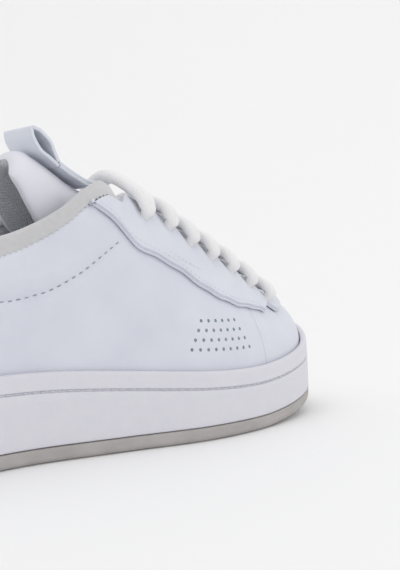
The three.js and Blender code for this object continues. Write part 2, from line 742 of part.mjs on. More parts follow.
function tonguePart(x0, x1, reach, inside, outside, columns) {
  return bend(columns, 10, 1, (s, v, w) => tongue(lerp(x0, x1, s), reach * (2 * v - 1), lerp(inside, outside, w)));
}
const foamOut = -TONGUE_SHELL - 2 * GAP;
const foamIn = foamOut - TONGUE_FOAM;
const TONGUE_LAYERS = {
  shell: { reach: 1, inside: -TONGUE_SHELL, outside: 0, margin: 0 },
  foam: { reach: 0.9, inside: foamIn, outside: foamOut, margin: 2 },
  lining: { reach: 1, inside: foamIn - 2 * GAP - TONGUE_LINING, outside: foamIn - 2 * GAP, margin: 0 },
};
const tongues = {};
for (const [layer, t] of Object.entries(TONGUE_LAYERS)) {
  tongues["tongue_base_" + layer] = tonguePart(
    TONGUE_HINGE + GAP,
    TONGUE_FRONT - t.margin,
    t.reach,
    t.inside,
    t.outside,
    9,
  );
  tongues["tongue_top_" + layer] = tonguePart(
    TONGUE_END + t.margin,
    TONGUE_HINGE - GAP,
    t.reach,
    t.inside,
    t.outside,
    7,
  );
}

// ---------------------------------------------------------------- strap and pull loop
// A flat strap lies doubled on the tongue; beyond its root it opens into a teardrop.
const strapLow = 0.6 + 0.5 * STRAP_THICKNESS;
const strapHigh = strapLow + STRAP_THICKNESS + GAP;
const overTongue = (x, lift) => new THREE.Vector2(x, tongueRidge(x) + lift);

function ribbon(path, steps, thickness) {
  return bend(steps, 2, 1, (s, v, w) => {
    const p = path.getPointAt(s);
    const d = path.getTangentAt(s);
    p.addScaledVector(new THREE.Vector2(d.y, -d.x), lerp(0.5, -0.5, w) * thickness);
    return new THREE.Vector3(p.x, lerp(-0.5, 0.5, v) * STRAP_WIDTH, p.y);
  });
}

const tongueStrap = (() => {
  const stations = [0, 0.25, 0.5, 0.75, 1].map((t) => lerp(STRAP_START, LOOP_ROOT, t));
  const middle = (strapLow + strapHigh) / 2;
  const path = new THREE.SplineCurve(stations.map((x) => overTongue(x, middle)));
  return ribbon(path, 8, 2 * STRAP_THICKNESS + GAP);
})();

const pullLoop = (() => {
  const start = LOOP_ROOT - 2 * GAP;
  const root = overTongue(start, (strapLow + strapHigh) / 2);
  const axis = new THREE.Vector2(-0.66, 0.75);
  const across = new THREE.Vector2(axis.y, -axis.x);
  const lobe = (t, side) =>
    root
      .clone()
      .addScaledVector(axis, LOOP_LENGTH * t)
      .addScaledVector(across, side * LOOP_BULGE * 0.5 * Math.sin(Math.PI * Math.pow(t, 1.3)));
  const path = new THREE.SplineCurve([
    overTongue(start, strapLow),
    lobe(0.25, -1.1),
    lobe(0.5, -1),
    lobe(0.8, -1),
    lobe(0.97, -0.5),
    lobe(1.0, 0.4),
    lobe(0.82, 1),
    lobe(0.55, 1),
    lobe(0.25, 1.1),
    overTongue(start, strapHigh),
  ]);
  return ribbon(path, 26, STRAP_THICKNESS);
})();

// ---------------------------------------------------------------- lace
// One lace: straight bars over the tongue, short runs hidden under the facing.
const lace = (() => {
  const points = [];
  const add = (p, wide, thick, flat) => points.push({ p, wide, thick, flat });
  const skin = OVERLAY_GAP + OVERLAY + 2 * GAP + 0.5 * LACE_THICKNESS;
  const stem = (e, out, flat) => add(upper(e.u, e.h, out), LACE_NECK, LACE_NECK - 0.8, flat);
  const hidden = (e) => add(upper(e.u, e.h, -6.8), LACE_RUN, LACE_RUN, false);
  rows.forEach((row, i) => {
    const sides = i % 2 ? [1, -1] : [-1, 1];
    const [a, b] = sides.map((side) => (side < 0 ? row.outer : row.inner));
    const half = throatHalf(Math.min(row.x, THROAT_FRONT - 12));
    const onFacing = (side, beyond, out) => {
      const e = onUpper(row.x, side * (half + beyond));
      return upper(e.u, e.h, out);
    };
    const heel = (side) => onFacing(side, EYELET_EDGE - 1.8, skin + GAP);
    const rim = (side) => onFacing(side, 0.5, skin + GAP);
    const held = (rim(-1).z + rim(1).z) / 2 + LACE_ARCH;
    const strap = i === 0 ? 2 * STRAP_THICKNESS + 1 : 0;
    const crown = new THREE.Vector3(row.x, 0, 0);
    crown.z = Math.max(held, tongueRidge(row.x) + strap + 0.6 * LACE_THICKNESS + 2 * GAP);
    hidden(a);
    stem(a, -3, false);
    stem(a, 3.2, true);
    add(heel(sides[0]), 0.8 * LACE_WIDTH, 0.8 * LACE_THICKNESS, true);
    add(rim(sides[0]), LACE_WIDTH, LACE_THICKNESS, true);
    add(crown, LACE_WIDTH, LACE_THICKNESS, true);
    add(rim(sides[1]), LACE_WIDTH, LACE_THICKNESS, true);
    add(heel(sides[1]), 0.8 * LACE_WIDTH, 0.8 * LACE_THICKNESS, true);
    stem(b, 3.2, true);
    stem(b, -3, false);
    hidden(b);
  });
  const curve = new THREE.CatmullRomCurve3(
    points.map((q) => q.p),
    false,
    "centripetal",
  );
  const steps = points.length - 1;
  const tube = new THREE.CylinderGeometry(1, 1, 1, 8, steps);
  const pos = tube.getAttribute("position");
  const centres = [];
  const tangents = [];
  for (let k = 0; k <= steps; k++) {
    centres.push(curve.getPoint(k / steps));
    tangents.push(curve.getTangent(k / steps).normalize());
  }
  // The flat side of the lace lies on the tongue, which slopes down to the toe.
  const frames = [];
  let across = new THREE.Vector3(1, 0, 0);
  tangents.forEach((t, k) => {
    const square = (d) => d.clone().addScaledVector(t, -d.dot(t));
    across = square(across).normalize();
    const x = centres[k].x;
    if (points[k].flat) {
      const slope = square(new THREE.Vector3(2, 0, tongueRidge(x + 1) - tongueRidge(x - 1)));
      across = slope.multiplyScalar(Math.sign(slope.dot(across))).normalize();
    }
    frames.push([across, t.clone().cross(across)]);
  });
  for (let i = 0; i < pos.count; i++) {
    const k = Math.round((pos.getY(i) + 0.5) * steps);
    const wide = points[k].wide / 2;
    const thick = points[k].thick / 2;
    const q = centres[k]
      .clone()
      .addScaledVector(frames[k][0], pos.getX(i) * wide)
      .addScaledVector(frames[k][1], -pos.getZ(i) * thick);
    pos.setXYZ(i, q.x, q.y, q.z);
  }
  return plain(tube);
})();

// ---------------------------------------------------------------- looks and assembly
const look = (color, roughness) => new THREE.MeshStandardMaterial({ color, roughness, metalness: 0 });
const WHITE_LEATHER = 0xe2e3e9;
const WHITE_RUBBER = 0xe0dfe3;
const GREY_RUBBER = 0xc6c3c0;
const LINING_CLOTH = 0xcfd1d6;
const SUEDE = 0xd0d0d2;
const FOAM = 0xe8e4da;

const shoe = new THREE.Group();
function addPiece(name, geometry, color, roughness) {
  const mesh = new THREE.Mesh(geometry, look(color, roughness));
  mesh.name = name;
  shoe.add(mesh);
}

addPiece("outsole", sole.outsole, GREY_RUBBER, 0.6);
addPiece("cupsole", sole.cupsole, WHITE_RUBBER, 0.5);
addPiece("sole_stitching", sole.sole_stitching, WHITE_RUBBER, 0.8);
addPiece("midsole_foam", sole.midsole_foam, FOAM, 0.9);
addPiece("strobel_board", sole.strobel_board, 0xd9d4c8, 0.9);
addPiece("sockliner", sole.sockliner, LINING_CLOTH, 0.9);
addPiece("quarter_lateral", top.quarter_lateral, WHITE_LEATHER, 0.45);
addPiece("quarter_medial", top.quarter_medial, WHITE_LEATHER, 0.45);
addPiece("vamp", top.vamp, WHITE_LEATHER, 0.45);
addPiece("lace_facing", top.lace_facing, WHITE_LEATHER, 0.45);
addPiece("heel_tab", top.heel_tab, WHITE_LEATHER, 0.45);
addPiece("heel_counter", top.heel_counter, 0xb9a98c, 0.7);
addPiece("toe_puff", top.toe_puff, 0xb9a98c, 0.7);
addPiece("collar_foam", top.collar_foam, FOAM, 0.9);
addPiece("collar_lining", top.collar_lining, LINING_CLOTH, 0.9);
addPiece("collar_binding", top.collar_binding, SUEDE, 0.9);
addPiece("vamp_lining", top.vamp_lining, LINING_CLOTH, 0.9);
for (const [name, geometry] of Object.entries(tongues)) {
  const layer = name.split("_")[2];
  const color = { shell: WHITE_LEATHER, foam: FOAM, lining: LINING_CLOTH }[layer];
  addPiece(name, geometry, color, layer === "shell" ? 0.5 : 0.9);
}
addPiece("tongue_strap", tongueStrap, WHITE_LEATHER, 0.5);
addPiece("pull_loop", pullLoop, WHITE_LEATHER, 0.5);
addPiece("lace", lace, 0xe8e6e2, 0.9);

export default shoe;
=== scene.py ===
# %% [markdown]
# # A white court shoe in Blender
#
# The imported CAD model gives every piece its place, its size and its joints. This lesson
# dresses that frame: each leather, cloth and rubber skin of the shoe is modelled again as
# a smooth surface, stitched, padded and given a procedural material. Lengths are written
# in millimetres and turned to metres at the moment a vertex is placed.

# %% Load the frame
import math
from functools import lru_cache

import bmesh
import bpy
from mathutils import Matrix, Vector
from mathutils.bvhtree import BVHTree


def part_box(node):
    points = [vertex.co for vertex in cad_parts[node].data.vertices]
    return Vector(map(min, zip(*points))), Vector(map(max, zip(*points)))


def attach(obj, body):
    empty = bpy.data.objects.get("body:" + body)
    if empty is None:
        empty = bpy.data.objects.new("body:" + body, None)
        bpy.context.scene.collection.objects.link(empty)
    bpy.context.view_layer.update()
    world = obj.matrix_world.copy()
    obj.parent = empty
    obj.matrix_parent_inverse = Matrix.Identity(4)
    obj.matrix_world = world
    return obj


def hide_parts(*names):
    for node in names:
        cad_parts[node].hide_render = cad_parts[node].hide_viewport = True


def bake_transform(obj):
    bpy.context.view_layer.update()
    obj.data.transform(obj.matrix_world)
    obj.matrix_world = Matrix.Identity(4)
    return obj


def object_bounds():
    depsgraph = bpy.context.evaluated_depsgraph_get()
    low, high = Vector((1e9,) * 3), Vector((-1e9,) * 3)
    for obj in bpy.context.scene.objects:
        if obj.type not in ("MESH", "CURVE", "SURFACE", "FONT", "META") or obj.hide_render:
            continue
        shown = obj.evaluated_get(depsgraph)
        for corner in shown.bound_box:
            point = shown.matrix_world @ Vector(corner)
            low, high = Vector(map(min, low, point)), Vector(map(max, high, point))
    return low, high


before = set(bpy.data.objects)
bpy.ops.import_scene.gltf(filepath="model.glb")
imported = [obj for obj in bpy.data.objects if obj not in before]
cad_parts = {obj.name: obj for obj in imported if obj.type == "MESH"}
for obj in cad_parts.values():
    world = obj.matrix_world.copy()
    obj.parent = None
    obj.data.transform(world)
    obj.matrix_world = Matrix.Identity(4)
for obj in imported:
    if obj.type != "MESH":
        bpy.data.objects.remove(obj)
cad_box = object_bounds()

MM = 0.001

# %% [markdown]
# The sole's outline is the base line of a shoe: the upper is pulled over a last that
# follows it. It is one closed Catmull-Rom curve through a few points, so every ring of the
# sole and every sheet of the upper can be laid along it with one parameter, u, which runs
# from the heel along the outer side to the toe and back along the inner side.

# %% Sizes of the shoe, and its outline
sole_low, sole_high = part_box("cupsole")
LENGTH = (sole_high.x - sole_low.x) / MM
HALF = LENGTH / 2
BALL, HEEL, WAIST = 109, 77, 75
OUTLINE = [
    (-1, 0.013 * HEEL), (-0.92, -0.351 * HEEL), (-0.7, -0.506 * HEEL), (-0.4, -0.507 * WAIST),
    (-0.1, -0.422 * BALL), (0.213, -0.505 * BALL), (0.52, -0.468 * BALL), (0.81, -0.312 * BALL),
    (1, 0.04 * BALL), (0.873, 0.394 * BALL), (0.587, 0.495 * BALL), (0.28, 0.459 * BALL),
    (-0.053, 0.376 * BALL), (-0.387, 0.493 * WAIST), (-0.693, 0.494 * HEEL), (-0.92, 0.351 * HEEL),
]


def along(stations, x):
    """A smooth curve through (x, value) stations that never overshoots."""
    if x <= stations[0][0]:
        return stations[0][1]
    if x >= stations[-1][0]:
        return stations[-1][1]
    i = 0
    while stations[i + 1][0] < x:
        i += 1

    def slope(k):
        return (stations[k + 1][1] - stations[k][1]) / (stations[k + 1][0] - stations[k][0])

    def tangent(k):
        if k == 0:
            return slope(0)
        if k == len(stations) - 1:
            return slope(k - 1)
        a, b = slope(k - 1), slope(k)
        return 0 if a * b <= 0 else 2 * a * b / (a + b)

    step = stations[i + 1][0] - stations[i][0]
    t = (x - stations[i][0]) / step
    return (
        (2 * t**3 - 3 * t**2 + 1) * stations[i][1]
        + (t**3 - 2 * t**2 + t) * step * tangent(i)
        + (3 * t**2 - 2 * t**3) * stations[i + 1][1]
        + (t**3 - t**2) * step * tangent(i + 1)
    )


def clamp(t, low=0.0, high=1.0):
    return min(max(t, low), high)


def smooth(a, b, x):
    t = clamp((x - a) / (b - a))
    return t * t * (3 - 2 * t)


def mix(a, b, t):
    return a + (b - a) * t


def solve(f, a, b, steps=26):
    """The value between a and b where f changes sign."""
    sign = f(a) < 0
    for _ in range(steps):
        m = (a + b) / 2
        if (f(m) < 0) == sign:
            a = m
        else:
            b = m
    return (a + b) / 2


def spline(points, t):
    """A point of the closed Catmull-Rom curve through points, t from 0 to 1."""
    n = len(points)
    i = math.floor(t * n)
    w = t * n - i
    p0, p1, p2, p3 = (points[(i + k) % n] for k in (-1, 0, 1, 2))
    out = []
    for a, b, c, d in zip(p0, p1, p2, p3):
        m, k = 0.5 * (c - a), 0.5 * (d - b)
        out.append((2 * b - 2 * c + m + k) * w**3 + (-3 * b + 3 * c - 2 * m - k) * w**2 + m * w + b)
    return out


@lru_cache(maxsize=200000)
def outline_at(u):
    t = u % 1
    x, y = spline(OUTLINE, t)
    xa, ya = spline(OUTLINE, (t + 1e-4) % 1)
    xb, yb = spline(OUTLINE, (t - 1e-4) % 1)
    dx, dy = (xa - xb) * HALF, ya - yb
    n = math.hypot(dx, dy)
    return x * HALF, y, dx / n, dy / n


def edge(u, inset):
    """A point in plan on the outline, moved in by inset."""
    x, y, dx, dy = outline_at(round(u, 7))
    return x - dy * inset, y + dx * inset


def spring_at(x):
    return 13.5 * clamp((x - (HALF - 90)) / 90) ** 2


def wall_top(x):
    stack = along([(-HALF, 40.5), (-0.4 * HALF, 39.5), (0.4 * HALF, 32), (HALF, 34)], x)
    return spring_at(x) + stack


print("length %.0f mm, wall %.0f mm high at the heel" % (LENGTH, wall_top(-HALF)))

# %% [markdown]
# The upper is one smooth form, like a last. h climbs from the sole (0) to the ridge of the
# instep (1): first straight up behind the rubber wall, then over a superellipse whose
# squareness changes along the foot. Every sheet of the upper is this surface with an offset.

# %% The form of the upper
INSET = 5.0
UPRIGHT = 0.12
INSTEP, TOE_BOX = 123.5, 68
HUMP_X, HUMP, ANKLE, HEEL_TAB = -12, 122, 92, 110
THROAT_FRONT, THROAT_REAR_HALF, THROAT_FRONT_HALF = 108, 20.5, 13
FACING = 17


def drop(share):
    return mix(INSTEP, TOE_BOX, share)


RIDGE = [
    (-0.693 * HALF, INSTEP + 45), (-0.5 * HALF, INSTEP + 30), (-0.3 * HALF, INSTEP + 17.5),
    (-0.133 * HALF, INSTEP + 7.5), (0, INSTEP), (0.127 * HALF, drop(0.126)),
    (0.233 * HALF, drop(0.288)), (0.34 * HALF, drop(0.432)), (0.467 * HALF, drop(0.62)),
    (0.6 * HALF, drop(0.847)), (0.693 * HALF, TOE_BOX),
]
SQUARE = [
    (-0.7 * HALF, 2.6), (-0.2 * HALF, 3.1), (-0.08 * HALF, 2.85),
    (0.06 * HALF, 2.15), (0.37 * HALF, 1.72), (0.69 * HALF, 1.9),
]


def surface(u, h):
    fx, fy = edge(u, INSET)
    x = 0.72 * (fx + edge(1 - u, INSET)[0]) * 0.5
    power = 2 / along(SQUARE, x)
    foot = wall_top(fx) - 15.8
    shoulder = wall_top(fx) - 2
    if h < UPRIGHT:
        return Vector((fx, fy, mix(foot, shoulder, h / UPRIGHT)))
    angle = math.pi / 2 * ((clamp(h) - UPRIGHT) / (1 - UPRIGHT)) ** 1.3
    spread = max(math.cos(angle), 0) ** power
    rise = math.sin(angle) ** power
    at = mix(x, fx, spread)
    return Vector((at, fy * spread, mix(shoulder, along(RIDGE, at), rise)))


def upper(u, h, out=0.0):
    e = 1e-3
    k = clamp(h, UPRIGHT + 0.02, 0.995)
    du = surface(u + e, k) - surface(u - e, k)
    dh = surface(u, k + e) - surface(u, k - e)
    return surface(u, h) + du.cross(dh).normalized() * out


def climb(u, line, low=0.0, high=1.0):
    """h where the line z = line(x), seen from the side, crosses the surface at u."""

    def f(h):
        p = surface(u, h)
        return p.z - line(p.x)

    return solve(f, low, high)


COLLAR_X = [-HALF, -0.87 * HALF, -0.58 * HALF, HUMP_X - 52, HUMP_X - 38, HUMP_X - 25, HUMP_X - 12, HUMP_X]
COLLAR_Z = [HEEL_TAB, mix(ANKLE, HEEL_TAB, 0.75), ANKLE] + [mix(ANKLE, HUMP, t) for t in (0.17, 0.35, 0.58, 0.86, 1)]
COLLAR = list(zip(COLLAR_X, COLLAR_Z)) + [(HUMP_X + 14, HUMP + 1)]


def collar_line(x):
    return along(COLLAR, x)


def throat_half(x):
    run = clamp((THROAT_FRONT - x) / (THROAT_FRONT - HUMP_X))
    return mix(THROAT_FRONT_HALF, THROAT_REAR_HALF, run) * math.sqrt(clamp((THROAT_FRONT - x) / 12))


def throat_h(u):
    def f(h):
        p = surface(u, h)
        return throat_half(p.x) - abs(p.y) - max(p.x - THROAT_FRONT, 0)

    return solve(f, 0, 1)


@lru_cache(maxsize=50000)
def top_h(u):
    rim = climb(u, collar_line)
    return min(rim, throat_h(u)) if edge(u, INSET)[0] > HUMP_X - 30 else rim


def u_at(x):
    return solve(lambda u: edge(u, INSET)[0] - x, 0.004, 0.496)


@lru_cache(maxsize=50000)
def below_rim(u, down):
    z = surface(u, top_h(u)).z - down
    return climb(u, lambda x: z)


def pad_line(x):
    return along(
        [(-HALF, HEEL_TAB - 38), (HUMP_X - 57, ANKLE - 22), (HUMP_X - 38, ANKLE - 19),
         (HUMP_X - 22, ANKLE - 12), (HUMP_X - 8, ANKLE - 3), (HUMP_X + 6, ANKLE + 6)], x)


DROP = [(-12, 1.15), (-2, 1.25), (11, 1.8), (20, 1.86), (40, 2.0), (53, 2.02), (68, 1.92), (81, 1.66), (96, 1.3), (113, 1.2)]


def facing_line(x):
    return along(RIDGE, x) - FACING * along([(HUMP_X + a, b) for a, b in DROP], x)


def inside_facing(p):
    half, ahead = THROAT_FRONT_HALF + 13, p.x - THROAT_FRONT + 14
    if ahead < 0:
        return half - 0.9 * ahead - abs(p.y)
    return half - math.hypot(ahead * half / 28, p.y)


@lru_cache(maxsize=50000)
def facing_h(u):
    low = climb(u, facing_line)
    if inside_facing(surface(u, low)) >= 0:
        return low
    return solve(lambda h: inside_facing(surface(u, h)), low, 1)


print("collar edge at the ankle: %.0f mm" % (surface(0.1, top_h(0.1)).z))

# %% [markdown]
# A bmesh grid is the plainest start for a skin: one operator makes it, and each vertex is
# then moved to its place on the form. The same helper rolls a grid into a tube or a ring,
# by merging the two edges that meet. The grid also carries a UV map in millimetres, which
# materials use where a weave has to follow the piece.


# %% Laying a grid
def laid(name, nu, nv, place, size=(100, 100), merge=False, flip=False, cap=False):
    bm = bmesh.new()
    uv = bm.loops.layers.uv.new("UVMap")
    bmesh.ops.create_grid(bm, x_segments=nu, y_segments=nv, size=0.5)
    for face in bm.faces:
        for loop in face.loops:
            loop[uv].uv = ((loop.vert.co.x + 0.5) * size[0], (loop.vert.co.y + 0.5) * size[1])
    for v in bm.verts:
        v.co = place(v.co.x + 0.5, v.co.y + 0.5) * MM
    if merge:
        bmesh.ops.remove_doubles(bm, verts=bm.verts, dist=2e-6)
    if cap:
        bmesh.ops.holes_fill(bm, edges=[e for e in bm.edges if e.is_boundary], sides=0)
    if flip:
        bmesh.ops.reverse_faces(bm, faces=bm.faces)
    if merge or cap:
        bmesh.ops.recalc_face_normals(bm, faces=bm.faces)
    return made(name, bm)


def made(name, bm):
    mesh = bpy.data.meshes.new(name)
    bm.to_mesh(mesh)
    bm.free()
    for p in mesh.polygons:
        p.use_smooth = True
    obj = bpy.data.objects.new(name, mesh)
    bpy.context.scene.collection.objects.link(obj)
    return obj


def thick(obj, mm, soft=0.4):
    m = obj.modifiers.new("thickness", "SOLIDIFY")
    m.thickness = mm * MM
    m.offset = -1
    if soft:
        b = obj.modifiers.new("soft edge", "BEVEL")
        b.width = soft * MM
        b.segments = 2
        b.limit_method = "ANGLE"
        b.angle_limit = math.radians(50)
    return obj


def dress(obj, material, body, *nodes, slot=None):
    obj.data.materials.append(material)
    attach(obj, body)
    if nodes:
        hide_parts(*nodes)
    print(obj.name, len(obj.data.polygons), "faces")
    return obj


# %% [markdown]
# Two shader groups serve several materials. Grain gives a height and a mask from two sizes
# of Voronoi cells and a soft noise: small values make smooth leather, larger ones pebbled
# rubber. Weave gives crossed threads from two wave patterns on the UV map.

# %% Shared shader groups
def group(name, inputs, outputs):
    g = bpy.data.node_groups.new(name, "ShaderNodeTree")
    for label, kind, value in inputs:
        s = g.interface.new_socket(label, in_out="INPUT", socket_type=kind)
        if value is not None:
            s.default_value = value
    for label, kind in outputs:
        g.interface.new_socket(label, in_out="OUTPUT", socket_type=kind)
    return g, g.nodes.new("NodeGroupInput"), g.nodes.new("NodeGroupOutput")


def node(tree, kind, links=None, **values):
    n = tree.nodes.new(kind)
    for key, value in values.items():
        setattr(n, key, value)
    for socket, source in (links or {}).items():
        if isinstance(source, bpy.types.NodeSocket):
            tree.links.new(source, n.inputs[socket])
        else:
            n.inputs[socket].default_value = source
    return n


F, V = "NodeSocketFloat", "NodeSocketVector"
GRAIN, gi, go = group(
    "grain",
    [("Vector", V, None), ("Cells", F, 900.0), ("Folds", F, 60.0), ("Fold share", F, 0.5)],
    [("Height", F), ("Mask", F)],
)
cells = node(GRAIN, "ShaderNodeTexVoronoi", {"Vector": gi.outputs["Vector"], "Scale": gi.outputs["Cells"]}, feature="F1")
folds = node(GRAIN, "ShaderNodeTexNoise", {"Vector": gi.outputs["Vector"], "Scale": gi.outputs["Folds"], "Detail": 3.0})
both = node(GRAIN, "ShaderNodeMix", {0: gi.outputs["Fold share"], 2: cells.outputs["Distance"], 3: folds.outputs["Fac"]})
GRAIN.links.new(both.outputs[0], go.inputs["Height"])
GRAIN.links.new(folds.outputs["Fac"], go.inputs["Mask"])

WEAVE, wi, wo = group(
    "weave", [("Vector", V, None), ("Threads", F, 1.0), ("Slant", F, 0.0)], [("Height", F), ("Mask", F)]
)
turn = {"Vector": wi.outputs["Vector"], "Angle": wi.outputs["Slant"]}
turned = node(WEAVE, "ShaderNodeVectorRotate", turn, rotation_type="Z_AXIS")
thread = {"Vector": turned.outputs[0], "Scale": wi.outputs["Threads"], "Distortion": 0.6}
warp = node(WEAVE, "ShaderNodeTexWave", thread, bands_direction="X")
weft = node(WEAVE, "ShaderNodeTexWave", thread, bands_direction="Y")
crossed = node(WEAVE, "ShaderNodeMath", {0: warp.outputs["Fac"], 1: weft.outputs["Fac"]}, operation="MULTIPLY")
fuzz = node(WEAVE, "ShaderNodeTexNoise", {"Vector": turned.outputs[0], "Scale": 1.2, "Detail": 4.0})
WEAVE.links.new(crossed.outputs[0], wo.inputs["Height"])
WEAVE.links.new(fuzz.outputs["Fac"], wo.inputs["Mask"])
print("groups:", [g.name for g in bpy.data.node_groups])


# %% Making a material
def srgb(r, g, b):
    """Linear colour of an sRGB value out of 255."""
    return tuple(((c / 255 + 0.055) / 1.055) ** 2.4 if c > 10 else c / 3295 for c in (r, g, b)) + (1.0,)


def material(name, light, dark, rough, shader, bump, space="Object", sheen=0.0, coat=0.0, rough_spread=0.08, **values):
    m = bpy.data.materials.new(name)
    m.use_nodes = True
    t = m.node_tree
    bsdf = t.nodes["Principled BSDF"]
    coords = node(t, "ShaderNodeTexCoord")
    g = t.nodes.new("ShaderNodeGroup")
    g.node_tree = shader
    t.links.new(coords.outputs[space], g.inputs["Vector"])
    for key, value in values.items():
        g.inputs[key.replace("_", " ").capitalize()].default_value = value
    tone = node(t, "ShaderNodeMapRange", {0: g.outputs["Mask"], 1: 0.3, 2: 0.7})
    colour = node(t, "ShaderNodeMix", {0: tone.outputs[0], 6: dark, 7: light}, data_type="RGBA")
    t.links.new(colour.outputs[2], bsdf.inputs["Base Color"])
    spread = {0: g.outputs["Mask"], 1: 0.3, 2: 0.7, 3: rough - rough_spread, 4: rough + rough_spread}
    gloss = node(t, "ShaderNodeMapRange", spread)
    t.links.new(gloss.outputs[0], bsdf.inputs["Roughness"])
    b = node(t, "ShaderNodeBump", {"Height": g.outputs["Height"], "Strength": bump[0], "Distance": bump[1] * MM})
    t.links.new(b.outputs[0], bsdf.inputs["Normal"])
    bsdf.inputs["Sheen Weight"].default_value = sheen
    bsdf.inputs["Coat Weight"].default_value = coat
    bsdf.inputs["Coat Roughness"].default_value = 0.35
    return m


LEATHER = material("white_leather", srgb(221, 224, 233), srgb(214, 217, 227), 0.46, GRAIN, (0.3, 0.1),
                   coat=0.06, cells=1100, folds=45, fold_share=0.6)
# Painted light: the tongue's white leather is painted lighter than the side leather, standing in for the stronger light
# on its upward face.
TONGUE_LEATHER_PAINTED_LIGHT = material("tongue_leather", srgb(232, 232, 240), srgb(225, 226, 234), 0.5, GRAIN, (0.3, 0.12),
                          cells=1100, folds=40, fold_share=0.7)
# Painted light: the strap's white leather is painted lighter than the side leather to make up for the shade it falls in
# on the tongue.
STRAP_LEATHER_PAINTED_LIGHT = material("strap_leather", srgb(226, 230, 238), srgb(218, 223, 232), 0.5, GRAIN, (0.3, 0.1),
                         cells=1200, folds=60, fold_share=0.5)
RUBBER = material("cupsole_rubber", srgb(221, 220, 227), srgb(218, 217, 225), 0.5, GRAIN, (0.5, 0.25),
                  cells=560, folds=140, fold_share=0.35)
GREY_RUBBER = material("outsole_rubber", srgb(182, 178, 176), srgb(168, 164, 162), 0.6, GRAIN, (0.3, 0.2),
                       cells=700, folds=80, fold_share=0.5)
SUEDE = material("suede", srgb(204, 203, 204), srgb(197, 197, 199), 0.92, GRAIN, (0.5, 0.2),
                 sheen=0.35, cells=1500, folds=420, fold_share=0.7)
KNIT = material("lining_cloth", srgb(214, 216, 221), srgb(186, 190, 197), 0.9, WEAVE, (0.8, 0.5),
                space="UV", sheen=0.2, threads=0.32, slant=0.7)
COTTON = material("lace_cotton", srgb(253, 252, 252), srgb(244, 243, 244), 0.95, WEAVE, (0.7, 0.3),
                  space="UV", sheen=0.25, threads=0.42, slant=0.79)
THREAD = material("thread", srgb(228, 229, 234), srgb(216, 218, 224), 0.8, GRAIN, (0.4, 0.1),
                  cells=1800, folds=500, fold_share=0.5)
# Painted shade: the stitches in the valley under the collar pad get a grey-blue thread colour that stands in for the
# shade there.
SHADE = material("thread_painted_shade", srgb(158, 166, 174), srgb(132, 140, 150), 0.85, GRAIN, (0.4, 0.1),
                 cells=1800, folds=500, fold_share=0.5)
# Painted shade: the vents are not cut. Each is a flat grey-blue dot that stands in for the shade inside a punched hole.
VENT_PAINTED_SHADE = material("vent_painted_shade", srgb(150, 163, 172), srgb(122, 136, 147), 0.8, GRAIN, (0.2, 0.1),
                cells=900, folds=300, fold_share=0.5)
FOAM = material("foam", srgb(232, 229, 220), srgb(216, 212, 202), 0.95, GRAIN, (0.8, 0.4),
                cells=700, folds=200, fold_share=0.5)
print("materials:", len(bpy.data.materials))

# %% [markdown]
# A cupsole is moulded in one piece: a tall wall with a rolled top edge, a groove for the
# stitching and a finely pebbled side. A closed profile is carried round the outline. The
# grey outsole below it has a rounded lower edge, and slots cut across its flat bottom.

# %% The sole
OUTSOLE, GROOVE_DOWN, WALL = 6.8, 7.6, 4.6


def ring(name, profile, turns=420, steps=26):
    """A closed profile of (inset, height) points, rounded and carried round the outline."""

    def place(s, t):
        x = edge(s, 0)[0]
        inset, z = spline_line(profile(x), t)
        px, py = edge(s, inset)
        return Vector((px, py, z))

    return laid(name, turns, steps, place, size=(800, 60), merge=True)


def spline_line(points, t):
    """A point on the closed polyline of points, t from 0 to 1."""
    n = len(points)
    k = min(int(t * n), n - 1)
    w = t * n - k
    a, b = points[k], points[(k + 1) % n]
    return mix(a[0], b[0], w), mix(a[1], b[1], w)


def cup_profile(x):
    base, top = spring_at(x) + OUTSOLE + 0.3, wall_top(x)
    groove = top - GROOVE_DOWN
    return [
        (0.9, base), (0.2, base + 0.5), (0.0, base + 1.6), (0.3, mix(base, groove, 0.5)),
        (0.55, groove - 1.9), (0.75, groove - 1.5), (1.5, groove - 1.3), (1.8, groove - 0.8),
        (1.5, groove - 0.3), (0.75, groove - 0.1), (0.7, groove + 0.4), (1.0, mix(groove, top, 0.55)),
        (1.2, top - 1.3), (1.6, top - 0.45), (2.4, top - 0.05), (3.6, top - 0.05),
        (4.3, top - 0.4), (WALL, top - 1.4), (WALL, top - 6), (WALL, base + 4),
        (WALL, base + 0.1), (2.4, base),
    ]


def out_profile(x):
    base = spring_at(x)
    return [
        (3.4, base + 0.02), (2.0, base + 0.25), (1.0, base + 0.9), (0.3, base + 1.9),
        (0.05, base + 3.2), (0.1, base + OUTSOLE - 0.8), (0.5, base + OUTSOLE - 0.1), (6.0, base + OUTSOLE - 0.1),
        (6.0, base + 0.4), (4.6, base + 0.05),
    ]


dress(ring("cup_wall", cup_profile, steps=66), RUBBER, "root", "cupsole", slot="cupsole_rubber")
dress(ring("outsole_rim", out_profile, steps=30), GREY_RUBBER, "root", slot="outsole_rubber")


def across(s, t, inset):
    u = mix(0.0015, 0.4985, s)
    ax, ay = edge(u, inset)
    bx, by = edge(1 - u, inset)
    return mix(ax, bx, t), mix(ay, by, t)


SLOT_FIRST, SLOT_PITCH, SLOT_LAST = -HALF + 27, 15, HALF - 96


def tread(s, t):
    x, y = across(s, t, 4.2)
    near = round((x - SLOT_FIRST) / SLOT_PITCH)
    slot_x = SLOT_FIRST + near * SLOT_PITCH
    inside = SLOT_FIRST - 1 < slot_x < SLOT_LAST and 0.1 < t < 0.9
    depth = 1.8 * (1 - smooth(1.3, 1.9, abs(x - slot_x))) if inside else 0
    return Vector((x, y, spring_at(x) + 0.05 + depth))


bottom = laid("outsole_tread", 420, 40, tread, flip=True)
dress(thick(bottom, 2.5, soft=0), GREY_RUBBER, "root", "outsole", slot="outsole_rubber")

# %% [markdown]
# The side stitch of a cupsole sits in its groove, so the thread never wears through. Each
# stitch is a small bead: one icosphere with a few dozen faces, stretched along the seam.


